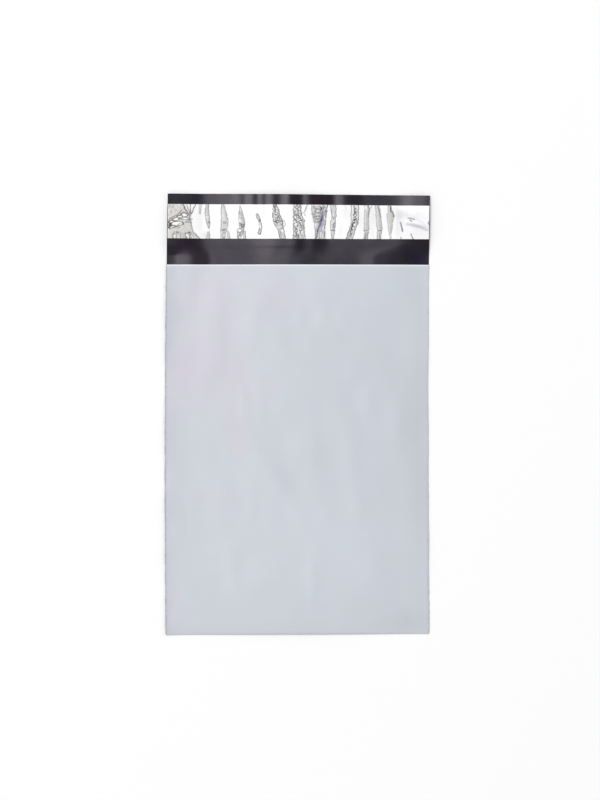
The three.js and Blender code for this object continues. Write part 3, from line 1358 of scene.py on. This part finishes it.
TUNNELS = (
    Tunnel(tone=1.35, crackle=0.10, outline=0.65, beige=0.75, stations=(
        (0.0, -94.3, -83.0), (3.5, -94.3, -81.0), (7.4, -94.3, -78.4), (10.0, -94.3, -77.6),
        (12.6, -94.3, -77.4), (17.5, -94.3, -76.6), (20.0, -94.3, -75.4), (22.0, -94.3, -73.5),
        (25.0, -94.3, -70.8),
    )),
    Tunnel(tone=1.45, crackle=0.0, outline=0.4, height=0.15, stations=(
        (0.0, -71.3, -69.9), (6.8, -71.6, -70.7),
    )),
    Tunnel(tone=1.1, crackle=0.12, outline=0.6, stations=(
        (0.0, -66.9, -65.0), (7.0, -67.5, -64.4), (11.5, -66.7, -63.7), (17.5, -64.8, -63.8),
    )),
    Tunnel(tone=1.2, crackle=0.1, outline=0.5, stations=(
        (20.0, -65.4, -63.8), (25.0, -66.0, -63.4),
    )),
    Tunnel(tone=1.25, crackle=0.12, outline=0.55, stations=(
        (0.0, -55.9, -54.0), (6.0, -55.7, -51.8), (12.0, -55.8, -50.7), (19.0, -55.9, -51.2),
        (21.5, -55.9, -52.6), (25.0, -55.8, -52.6),
    )),
    Tunnel(tone=1.2, crackle=0.0, outline=0.4, stations=(
        (19.5, -51.0, -50.2), (22.0, -51.2, -49.6), (25.0, -51.2, -48.8),
    )),
    Tunnel(tone=1.15, crackle=0.2, outline=0.6, stations=(
        (1.0, -42.8, -42.0), (6.0, -42.9, -40.2), (13.5, -42.9, -38.5), (17.0, -42.9, -39.0),
        (21.0, -44.2, -39.8), (25.0, -43.9, -41.6),
    )),
    Tunnel(crackle=0.0, outline=0.6, height=0.2, stations=(
        (19.6, -39.4, -38.0), (25.0, -39.4, -37.8),
    )),
    Tunnel(tone=0.95, crackle=0.15, outline=0.8, height=0.25, stations=(
        (6.6, -29.9, -29.5), (8.0, -30.4, -28.6), (10.5, -29.7, -27.6), (12.6, -28.4, -27.3),
    )),
    Tunnel(tone=0.85, crackle=0.2, outline=0.8, height=0.3, stations=(
        (11.4, -28.3, -27.6), (13.5, -28.1, -26.6), (17.0, -28.0, -26.3), (20.4, -28.8, -26.8),
        (21.9, -28.4, -27.4),
    )),
    Tunnel(tone=1.35, crackle=0.34, outline=0.9, stations=(
        (0.0, -18.1, -15.9), (7.0, -18.6, -13.5), (12.0, -18.2, -11.3), (15.5, -16.8, -11.0),
        (18.5, -14.4, -10.3), (25.0, -13.2, -9.1),
    )),
    Tunnel(tone=4.0, crackle=0.46, outline=0.8, stations=(
        (0.0, -3.7, 1.5), (7.5, -3.7, 2.0), (11.5, -3.5, 4.1), (20.0, -3.5, 4.3), (25.0, -3.8, 5.3),
    )),
    Tunnel(tone=4.5, crackle=0.06, outline=0.8, stations=(
        (0.0, 9.2, 20.7), (6.5, 10.1, 20.0), (10.0, 10.5, 19.4), (13.5, 11.7, 19.2),
        (18.0, 11.9, 18.5), (25.0, 12.6, 19.3),
    )),
    Tunnel(tone=5.0, crackle=0.12, outline=0.45, stations=(
        (0.0, 17.6, 20.7), (6.5, 17.8, 20.0), (13.5, 17.0, 19.2), (25.0, 15.6, 19.3),
    )),
    Tunnel(tone=1.25, crackle=0.08, outline=0.6, stations=(
        (0.0, 22.6, 26.9), (7.5, 23.9, 27.0), (15.0, 23.0, 26.6), (18.7, 23.3, 25.9),
        (25.0, 24.3, 25.4),
    )),
    Tunnel(tone=2.2, crackle=0.08, outline=0.8, stations=(
        (0.0, 37.9, 42.8), (7.5, 37.5, 43.2), (13.5, 38.0, 42.8), (17.5, 36.6, 41.1),
        (25.0, 34.3, 39.1),
    )),
    Tunnel(tone=1.08, crackle=0.06, outline=0.45, stations=(
        (0.0, 47.3, 50.6), (9.0, 47.3, 50.8), (20.0, 47.2, 50.7), (25.0, 47.1, 49.9),
    )),
    Tunnel(tone=1.12, crackle=0.06, outline=0.5, stations=(
        (0.0, 55.1, 57.9), (9.0, 55.7, 59.4), (17.0, 56.6, 60.2), (25.0, 56.9, 59.2),
    )),
    Tunnel(tone=1.08, crackle=0.05, outline=0.4, stations=(
        (0.0, 64.4, 66.2), (9.0, 63.4, 68.5), (18.0, 64.8, 67.4), (25.0, 65.9, 66.5),
    )),
)

# Each row: x, down, across, along and rim, and the lean where there is one.
ISLANDS = tuple(Island(*row) for row in (
    (-91.3, 1.6, 1.4, 0.8, 0.7), (-81.9, 7.8, 2.4, 1.3, 1.1, 0.3),
    (-85.4, 9.0, 2.0, 1.2, 1.0, -0.4), (-81.8, 10.6, 3.4, 0.8, 0.8),
    (-88.2, 11.0, 2.3, 1.2, 1.0, -0.8), (-91.4, 12.9, 2.3, 1.1, 1.0, -0.6),
    (-87.4, 14.2, 4.4, 1.6, 1.1, -0.4), (-91.0, 16.7, 2.5, 1.0, 1.1, -0.7),
    (-87.6, 17.0, 2.0, 0.6, 0.8, -0.8), (-89.2, 23.8, 0.7, 2.6, 0.6), (-86.0, 24.0, 0.7, 2.6, 0.5),
    (-79.5, 23.6, 1.0, 2.6, 0.8), (-76.7, 24.0, 0.6, 2.6, 0.6), (-53.4, 22.6, 0.5, 2.0, 0.5),
    (-40.2, 15.6, 0.8, 1.0, 1.0), (-42.1, 18.9, 1.5, 1.5, 1.0), (-42.0, 24.0, 0.8, 2.0, 0.7),
    (-16.9, 3.0, 0.6, 1.6, 1.0), (-16.0, 6.6, 1.1, 1.0, 1.0), (-14.6, 10.4, 0.9, 1.6, 1.0),
    (-12.2, 13.4, 1.0, 0.9, 1.0), (-15.6, 12.8, 0.7, 0.9, 1.0), (-1.2, 2.0, 1.0, 0.8, 1.0),
    (-2.2, 9.2, 1.0, 1.3, 1.0), (1.4, 12.4, 1.2, 0.9, 1.0), (-1.6, 14.6, 1.3, 1.0, 1.0),
    (1.8, 17.6, 1.0, 1.2, 1.0), (-1.4, 19.4, 0.9, 1.0, 1.0), (-0.6, 23.4, 1.4, 1.1, 1.0),
    (13.0, 1.6, 2.2, 0.7, 0.7), (14.0, 4.6, 2.6, 0.7, 0.8), (13.6, 7.2, 2.8, 0.75, 0.8),
    (13.6, 9.6, 2.5, 0.65, 0.8), (12.9, 11.8, 1.6, 0.6, 0.8), (13.9, 15.6, 0.75, 3.6, 0.6, -0.30),
    (16.2, 21.6, 0.7, 3.2, 0.6, -0.16), (18.6, 3.6, 0.8, 2.0, 0.8), (18.9, 9.4, 0.6, 2.6, 0.6),
    (18.0, 17.4, 0.6, 3.2, 0.5), (40.8, 3.8, 0.6, 1.1, 1.0), (41.0, 7.4, 1.3, 1.1, 1.1),
    (40.4, 9.8, 0.8, 0.8, 1.2), (40.1, 12.1, 0.8, 0.9, 1.15), (40.0, 14.7, 1.2, 1.2, 1.0),
    (39.0, 17.0, 0.9, 1.1, 1.1), (38.4, 19.9, 1.0, 1.4, 0.9, -0.3),
    (37.4, 23.2, 0.6, 1.4, 0.9, -0.3), (36.3, 20.8, 0.5, 1.8, 0.6, -0.3),
    (36.6, 24.2, 0.6, 1.3, 0.7, -0.3), (25.2, 15.6, 0.4, 0.9, 0.7),
))

# Each row: dark, width, and the points.
PLEATS = tuple(Pleat(dark, width, tuple(points)) for dark, width, *points in (
    (0.9, 0.40, (-83.2, 0.0), (-81.6, 4.0), (-78.0, 7.4)),
    (0.8, 0.40, (-80.6, 0.6), (-79.6, 3.6), (-78.1, 6.2)),
    (0.9, 0.5, (-77.9, 0.0), (-78.0, 3.4), (-77.8, 6.8)),
    (0.9, 0.40, (-74.4, 0.0), (-75.2, 2.0), (-76.2, 4.6), (-77.4, 7.2)),
    (0.75, 0.40, (-93.6, 11.2), (-89.0, 8.8), (-86.2, 7.0), (-84.4, 4.4)),
    (1.0, 0.6, (-93.8, 15.0), (-92.0, 16.6)), (0.5, 0.40, (-83.8, 11.8), (-77.6, 11.8)),
    (0.8, 0.40, (-83.8, 13.1), (-77.4, 13.1)),
    (0.6, 0.40, (-84.4, 13.4), (-86.2, 14.8), (-88.4, 16.4), (-92.6, 18.2)),
    (0.85, 0.6, (-87.6, 20.4), (-86.3, 20.7)), (1.0, 0.6, (-78.9, 20.5), (-78.0, 20.8)),
    (0.45, 0.45, (-90.6, 21.4), (-90.4, 25.0)), (0.6, 0.5, (-87.7, 21.2), (-87.5, 25.0)),
    (0.5, 0.5, (-84.5, 20.6), (-84.3, 25.0)), (0.4, 0.5, (-82.7, 21.6), (-82.5, 25.0)),
    (0.65, 0.45, (-81.2, 20.8), (-81.0, 25.0)), (0.65, 0.5, (-78.0, 21.2), (-77.8, 25.0)),
    (0.5, 0.45, (-75.4, 21.8), (-75.2, 25.0)), (0.6, 0.40, (-92.6, 5.6), (-91.6, 5.9)),
    (0.7, 0.34, (-77.6, 8.0), (-77.5, 12.5), (-76.9, 16.5), (-75.6, 19.8), (-73.4, 22.4), (-71.2, 25.0)),
    (0.5, 0.40, (-71.4, 3.0), (-71.4, 6.8)), (0.9, 0.5, (-64.5, 12.6), (-64.9, 13.4)),
    (0.5, 0.3, (-64.0, 17.8), (-64.3, 20.4)),
    (0.8, 0.3, (-54.4, 13.4), (-53.2, 12.6), (-52.2, 13.4), (-53.2, 14.2), (-54.4, 13.4)),
    (0.9, 0.6, (-54.8, 19.0), (-53.2, 18.4)),
    (0.9, 0.45, (-42.6, 13.4), (-41.2, 14.6), (-40.4, 16.8), (-39.0, 14.4)),
    (0.8, 0.40, (-41.4, 20.6), (-42.6, 23.0), (-42.8, 25.0)),
    (0.7, 0.40, (-17.6, 0.6), (-16.9, 2.4), (-17.2, 5.0)),
    (0.7, 0.40, (-14.2, 8.0), (-14.0, 11.0), (-12.4, 12.2)),
    (0.7, 0.34, (-10.8, 11.4), (-9.2, 14.6), (-10.4, 16.0)),
    (0.5, 0.40, (-13.4, 18.8), (-12.2, 25.0)), (1.0, 0.6, (-1.2, 3.0), (0.2, 4.6)),
    (1.0, 0.6, (-0.9, 7.2), (0.6, 8.6)), (1.0, 0.55, (-2.9, 5.4), (-2.2, 7.6)),
    (0.9, 0.5, (0.8, 0.6), (0.2, 2.4)), (0.95, 0.5, (-2.6, 10.8), (-1.0, 12.6)),
    (1.0, 0.42, (1.2, 9.4), (2.6, 12.2)), (0.95, 0.45, (0.4, 13.4), (2.2, 15.8)),
    (0.9, 0.45, (-2.8, 16.4), (-1.2, 18.4)), (0.8, 0.4, (2.8, 13.2), (3.6, 18.0)),
    (0.9, 0.45, (-1.8, 20.6), (-0.6, 23.8)), (0.8, 0.4, (1.4, 19.4), (2.4, 23.0)),
    (0.8, 0.40, (5.9, 0.0), (5.2, 2.6), (4.2, 5.4)), (0.6, 0.40, (3.0, 5.6), (4.6, 8.0)),
    (0.8, 0.40, (10.4, 3.2), (13.0, 2.8), (16.8, 3.2)),
    (0.85, 0.40, (10.6, 5.9), (13.0, 5.5), (17.0, 5.9)),
    (0.8, 0.40, (10.8, 8.5), (14.0, 8.2), (16.8, 8.6)), (0.8, 0.40, (11.2, 10.7), (14.6, 10.4)),
    (0.8, 0.40, (11.2, 12.6), (12.8, 13.4), (14.2, 12.2)),
    (0.8, 0.5, (17.3, 0.4), (17.5, 3.0), (17.2, 5.4)),
    (1.0, 0.6, (15.4, 1.4), (16.4, 2.6), (15.8, 4.2)),
    (0.9, 0.6, (16.6, 6.2), (16.9, 8.8), (16.2, 11.4)),
    (0.5, 0.4, (17.0, 5.4), (17.4, 9.0), (16.8, 12.6)),
    (0.9, 0.65, (14.2, 18.6), (13.4, 21.4), (12.9, 25.0)), (0.6, 0.40, (15.4, 19.6), (14.8, 25.0)),
    (0.9, 0.5, (20.4, 4.6), (19.2, 5.4)),
    (0.6, 0.40, (17.9, 8.0), (18.1, 13.0), (16.8, 18.0), (16.9, 25.0)),
    (0.5, 0.40, (19.0, 12.6), (18.8, 18.0), (18.3, 25.0)),
    (0.7, 0.40, (22.6, 0.4), (24.0, 4.6), (24.0, 9.0)), (0.9, 0.5, (25.2, 9.4), (25.3, 10.0)),
    (0.8, 0.40, (26.2, 13.0), (25.0, 14.6), (25.4, 16.6)), (0.9, 0.42, (23.8, 18.7), (26.2, 18.7)),
    (0.9, 0.40, (39.6, 0.6), (40.2, 2.6), (40.2, 6.4)), (1.0, 0.55, (41.4, 5.2), (40.4, 5.9)),
    (1.0, 0.5, (40.9, 10.9), (39.9, 11.0)), (1.0, 0.5, (39.4, 13.2), (39.0, 15.6)),
    (1.0, 0.5, (38.2, 18.2), (37.6, 20.8)), (0.8, 0.40, (41.8, 11.0), (42.2, 13.4)),
    (0.8, 0.40, (38.4, 13.6), (38.2, 16.4)), (0.85, 0.40, (37.4, 17.6), (36.0, 21.0), (35.0, 25.0)),
    (0.8, 0.40, (50.2, 0.4), (50.9, 2.8), (50.6, 9.0)), (0.6, 0.40, (51.0, 3.0), (52.6, 0.8)),
    (0.85, 0.40, (47.8, 18.9), (49.6, 18.8)), (0.85, 0.40, (48.6, 20.4), (47.8, 25.0)),
    (0.5, 0.40, (50.2, 20.0), (49.8, 24.8)), (0.7, 0.40, (57.0, 1.4), (58.2, 5.0), (59.4, 9.4)),
    (0.5, 0.40, (58.4, 2.8), (58.9, 4.6)), (0.9, 0.42, (57.3, 18.8), (59.4, 18.8)),
    (0.6, 0.40, (58.4, 21.2), (58.6, 25.0)),
    (0.9, 0.42, (66.0, 0.4), (66.2, 4.6), (67.6, 4.6), (67.8, 6.4), (68.6, 8.4)),
    (0.9, 0.45, (73.4, 12.6), (73.8, 14.6), (74.4, 17.0), (74.8, 19.4)),
    (0.7, 0.40, (73.7, 23.6), (73.8, 25.0)), (0.85, 0.45, (81.0, 21.2), (82.6, 25.0)),
    (0.9, 0.42, (78.8, 9.4), (80.4, 9.4), (83.8, 10.4)), (0.9, 0.5, (80.2, 10.8), (81.2, 11.6)),
    (0.30, 1.1, (78.4, 13.8), (83.0, 14.8), (88.0, 16.2), (92.6, 18.2)),
    (0.16, 0.5, (80.0, 13.2), (86.0, 14.6), (91.4, 16.2)),
    (0.12, 0.6, (84.4, 10.0), (88.6, 12.2), (92.0, 16.0)), (0.07, 2.0, (70.6, 3.0), (72.2, 8.0)),
    (0.09, 1.4, (78.0, 8.0), (84.0, 8.6)), (0.8, 0.40, (93.6, 12.0), (93.2, 13.2), (93.9, 14.2)),
    (0.12, 0.6, (33.6, 0.6), (34.4, 2.8)),
))


# Faint grey patches of the liner. Rows as for the swells, with y measured from its edge.
HAZES = tuple(Swell(*row) for row in (
    (53.5, 7.0, 1.8, 7.0, 0.27), (53.4, 20.0, 1.6, 6.0, 0.14), (76.5, 6.0, 5.5, 3.8, 0.46),
    (71.5, 18.0, 2.2, 7.0, 0.16), (62.0, 6.0, 1.5, 5.0, 0.12), (32.0, 5.5, 3.5, 5.0, 0.18),
    (30.0, 18.0, 2.5, 6.0, 0.18), (86.0, 7.0, 6.0, 4.0, 0.12), (86.0, 19.0, 7.0, 4.0, 0.12),
    (85.0, 15.0, 6.5, 2.2, 0.34, 3.0), (72.0, 12.0, 2.8, 9.0, 0.20), (62.0, 18.0, 1.5, 6.0, 0.10),
    (45.0, 12.0, 1.6, 10.0, 0.13), (-66.5, 22.6, 2.6, 2.6, 0.34), (-58.5, 6.5, 1.4, 1.2, 0.10),
    (-47.0, 8.0, 1.2, 3.0, 0.07), (-71.0, 11.0, 3.0, 11.0, 0.12), (-26.0, 5.0, 3.0, 5.0, 0.14),
))


BLUE_STREAK = Swell(15.8, 13.5, 1.35, 7.5, 1.2, -0.26)


@dataclass
class ReleaseLiner:
    """The release liner over the adhesive, lifted in crackled tunnels."""

    size: BagSize
    lie: Lie
    columns: int = 630
    rows: int = 62
    stand_off: float = 0.01
    side_inset: float = 0.45
    top_inset: float = 0.32
    foot_inset: float = 0.10
    wall_width: float = 0.26
    wall_blur: float = 0.2
    wall_gain: float = 1.25
    roof_reach: float = 1.3
    crack_gain: float = 2.0
    crack_lift: float = 0.12
    grit_share: float = 0.7
    least_net: float = 0.25
    patch_spread: float = 0.6
    flake_gain: float = 0.85
    flake_blur: float = 0.06
    flake_sink: float = 0.5
    sway_width: float = 0.16
    torn_width: tuple[float, float] = (0.24, 0.20)
    island_edge: float = 1.15
    island_blur: float = 0.3
    island_sink: float = 0.6
    rim_width: float = 0.30
    pleat_lift: float = 0.10
    sway: Ripple = Ripple(43, 2.5, 9.0)
    patches: Ripple = Ripple(45, 2.0, 8.0)
    tears: tuple[Ripple, Ripple] = (Ripple(46, 1.9, 6.0), Ripple(47, 1.9, 6.0))
    stones: CrackNet = CrackNet(seed=42, across=2.9, along=3.9, width=0.28, crook=0.8)
    grit: CrackNet = CrackNet(seed=44, across=2.0, along=2.6, width=0.24, crook=0.5)
    finish: LinerFinish = LinerFinish()

    def marks(self, x: Array, down: Array) -> dict[str, Array]:
        """Works out where the liner is lifted, crackled and creased.

        Args:
            x: distance across from the flap's middle.
            down: distance from the liner's upper edge.

        Returns:
            Values by name: lift in millimetres, and the finish's masks from 0 to 1.
        """
        x = x + self.sway_width * self.sway.height(x, down)
        found = {name: np.zeros(x.shape) for name in ("lift", "lifted", "line", "beige")}
        self.lift_tunnels(found, x, down)
        self.stick_islands(found, x, down)
        for pleat in PLEATS:
            near = pleat.near(x, down)
            found["line"] = np.maximum(found["line"], near)
            found["lift"] = found["lift"] + self.pleat_lift * near
        found["blue"] = BLUE_STREAK.lift(x, down)
        found["haze"] = total(HAZES, x, down)
        return found

    def lift_tunnels(self, found: dict[str, Array], x: Array, down: Array) -> None:
        """Lifts the tunnels, with a dark wall of painted shade, a crackle of two nets and white flakes
        between.

        Args:
            found: the values by name, which are changed.
            x: distance across.
            down: distance from the liner's upper edge.
        """
        net, stone = self.stones.trace(x, down)
        grit = self.grit.trace(x, down)[0]
        patchy = ease(0.5 + self.patch_spread * self.patches.height(x, down))
        netted = net * (self.least_net + (1.0 - self.least_net) * patchy)
        broken = np.maximum(netted, self.grit_share * grit * (1.0 - patchy))
        for tunnel in TUNNELS:
            inside = tunnel.inside(x, down)
            body = ease((inside + self.wall_blur) / (2.0 * self.wall_blur))
            # The dark wall is painted shade along the tunnel's edge.
            wall = min(1.0, self.wall_gain * tunnel.outline) * bell(inside, self.wall_width)
            lines = body * min(1.0, self.crack_gain * tunnel.crackle) * broken
            flake = ease((stone - 1.0 + self.flake_gain * tunnel.crackle) / self.flake_blur)
            sunk = 1.0 - self.flake_sink * flake
            roof = tunnel.height * dome(inside / self.roof_reach) * sunk
            for name, value in (("lifted", body * (1.0 - flake) / tunnel.tone),
                                ("line", np.maximum(wall, lines)),
                                ("lift", roof + self.crack_lift * lines),
                                ("beige", tunnel.beige * body)):
                found[name] = np.maximum(found[name], value)

    def stick_islands(self, found: dict[str, Array], x: Array, down: Array) -> None:
        """Sticks the flakes back down, each with a torn outline and a dark rim of painted shade.

        Args:
            found: the values by name, which are changed.
            x: distance across.
            down: distance from the liner's upper edge.
        """
        x_torn = x + self.torn_width[0] * self.tears[0].height(x, down)
        down_torn = down + self.torn_width[1] * self.tears[1].height(x, down)
        for island in ISLANDS:
            share = island.share(x_torn, down_torn)
            within = ease((self.island_edge - share) / self.island_blur)
            away = (share - 1.0) * min(island.across, island.along)
            # The dark rim is painted shade where the flake bends down.
            rim = island.rim * bell(away, self.rim_width)
            found["lifted"] = found["lifted"] * (1.0 - within)
            found["line"] = np.maximum(found["line"] * (1.0 - within), rim)
            found["lift"] = found["lift"] * (1.0 - self.island_sink * within)

    def shape(self) -> bpy.types.Object:
        """Builds the liner as a thin slab over the adhesive, with its tunnels and creases.

        Returns:
            The piece.
        """
        size = self.size
        low_y = size.liner_y[0] + self.foot_inset
        high_y = size.liner_y[1] - self.top_inset
        half = size.half_web - self.side_inset
        x, y = np.meshgrid(np.linspace(-half, half, self.columns + 1),
                           np.linspace(low_y, high_y, self.rows + 1))
        marks = self.marks(x, (high_y - y) / (high_y - low_y) * (size.liner_y[1] - size.liner_y[0]))
        base = self.lie.back_height(x, y) + size.film + size.adhesive_coat + self.stand_off
        low = base + marks.pop("lift")
        shell = Shell("liner_film", ("lifted", "line", "beige", "blue", "haze"))
        add_slab(shell, *self.lie.outline(x, y), low, low + size.liner_film, **marks)
        return shell.make()

    def dress(self, piece: bpy.types.Object, under: bpy.types.Object) -> None:
        """Gives the liner its finish and ties it to the frame.

        Args:
            piece: the liner.
            under: the adhesive that it rests on; not used.
        """
        piece.data.materials.append(self.finish.build())
        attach(piece, BODY)
        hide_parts("release_liner")


# ------------------------------------------------------------------ the studio


@dataclass(frozen=True)
class Studio:
    """A pale floor under one long softbox, in a pale room that is dimmer overhead."""

    view_along: float = 576.0
    view_centre: tuple[float, float] = (1.8, 10.6)
    lens: float = 100.0
    sensor: float = 36.0
    floor_side: float = 24000.0
    floor_colour: Colour = (0.90, 0.90, 0.90)
    softbox_height: float = 6000.0
    softbox_size: tuple[float, float] = (2900.0, 6200.0)
    softbox_place: tuple[float, float] = (-1820.0, 1700.0)
    softbox_radiance: float = 4.5
    room_overhead: float = 0.08
    room_side: float = 0.84
    room_dims: tuple[float, float] = (0.78, 0.94)

    def build(self) -> None:
        """Makes the camera, the light, the room and the floor."""
        self.place_camera()
        self.place_softbox()
        self.paint_room()
        self.lay_floor()
        bpy.context.scene.view_settings.view_transform = "Standard"

    def place_camera(self) -> None:
        """Hangs the camera straight over the bag, with its long side along the bag."""
        data = bpy.data.cameras.new("camera")
        data.lens = self.lens
        data.sensor_width = self.sensor
        data.clip_end = 100.0
        camera = put("camera", data)
        distance = self.view_along * self.lens / self.sensor
        camera.location = (self.view_centre[0] * MM, self.view_centre[1] * MM, distance * MM)
        bpy.context.scene.camera = camera

    def place_softbox(self) -> None:
        """Hangs the softbox overhead, to the left of the bag, so that one edge is near overhead."""
        data = bpy.data.lights.new("softbox", "AREA")
        data.shape = "RECTANGLE"
        data.size = self.softbox_size[0] * MM
        data.size_y = self.softbox_size[1] * MM
        data.energy = self.softbox_radiance * math.pi * data.size * data.size_y
        x, y = self.softbox_place
        put("softbox", data).location = (x * MM, y * MM, self.softbox_height * MM)

    def paint_room(self) -> None:
        """Lights the room from its walls: pale all round and dim overhead."""
        world = bpy.data.worlds.new("room")
        world.use_nodes = True
        bpy.context.scene.world = world
        bench = Bench(world.node_tree)
        way = bench.node("ShaderNodeTexCoord").outputs["Generated"]
        up = bench.node("ShaderNodeSeparateXYZ", {0: way}).outputs["Z"]
        overhead = bench.node("ShaderNodeMapRange",
                              {"Value": up, "From Min": self.room_dims[0],
                               "From Max": self.room_dims[1], "To Min": self.room_side,
                               "To Max": self.room_overhead},
                              interpolation_type="SMOOTHSTEP").outputs[0]
        bench.fill(world.node_tree.nodes["Background"],
                   {"Strength": overhead, "Color": (1.0, 1.0, 1.0, 1.0)})

    def lay_floor(self) -> None:
        """Lays a plain pale floor just under the bag."""
        half = self.floor_side / 2.0 * MM
        mesh = bpy.data.meshes.new("floor")
        corners = [(-half, -half, 0.0), (half, -half, 0.0), (half, half, 0.0), (-half, half, 0.0)]
        mesh.from_pydata(corners, [], [(0, 1, 2, 3)])
        floor = put("floor", mesh)
        made, bench, shader = new_material("pale floor")
        colour = mottled(bench, bench.place(), self.floor_colour, patch=0.5, depth=0.004)
        bench.fill(shader, {"Base Color": colour, "Roughness": 0.9, "Specular IOR Level": 0.1})
        mesh.materials.append(made)


# ------------------------------------------------------------------ the whole bag


def report(piece: bpy.types.Object) -> None:
    """Logs a piece's name, number of faces and extent.

    Args:
        piece: the piece.
    """
    places = np.array([point.co for point in piece.data.vertices]) / MM
    log.info("%s: %d faces, from %s to %s mm", piece.name, len(piece.data.polygons),
             places.min(axis=0).round(2).tolist(), places.max(axis=0).round(2).tolist())


def main() -> None:
    """Builds the studio and the bag."""
    logging.basicConfig(level=logging.INFO, format="%(name)s: %(message)s")
    Studio().build()
    size = BagSize.from_frame()
    lie = Lie(size)
    pouch = FilmPouch(size, lie)
    adhesive = AdhesiveStripe(size, lie)
    liner = ReleaseLiner(size, lie)

    pouch_film = pouch.shape()
    pouch.dress(pouch_film)
    report(pouch_film)
    adhesive_coat = adhesive.shape()
    adhesive.dress(adhesive_coat)
    report(adhesive_coat)
    liner_film = liner.shape()
    liner.dress(liner_film, adhesive_coat)
    report(liner_film)


if __name__ == "__main__":
    main()
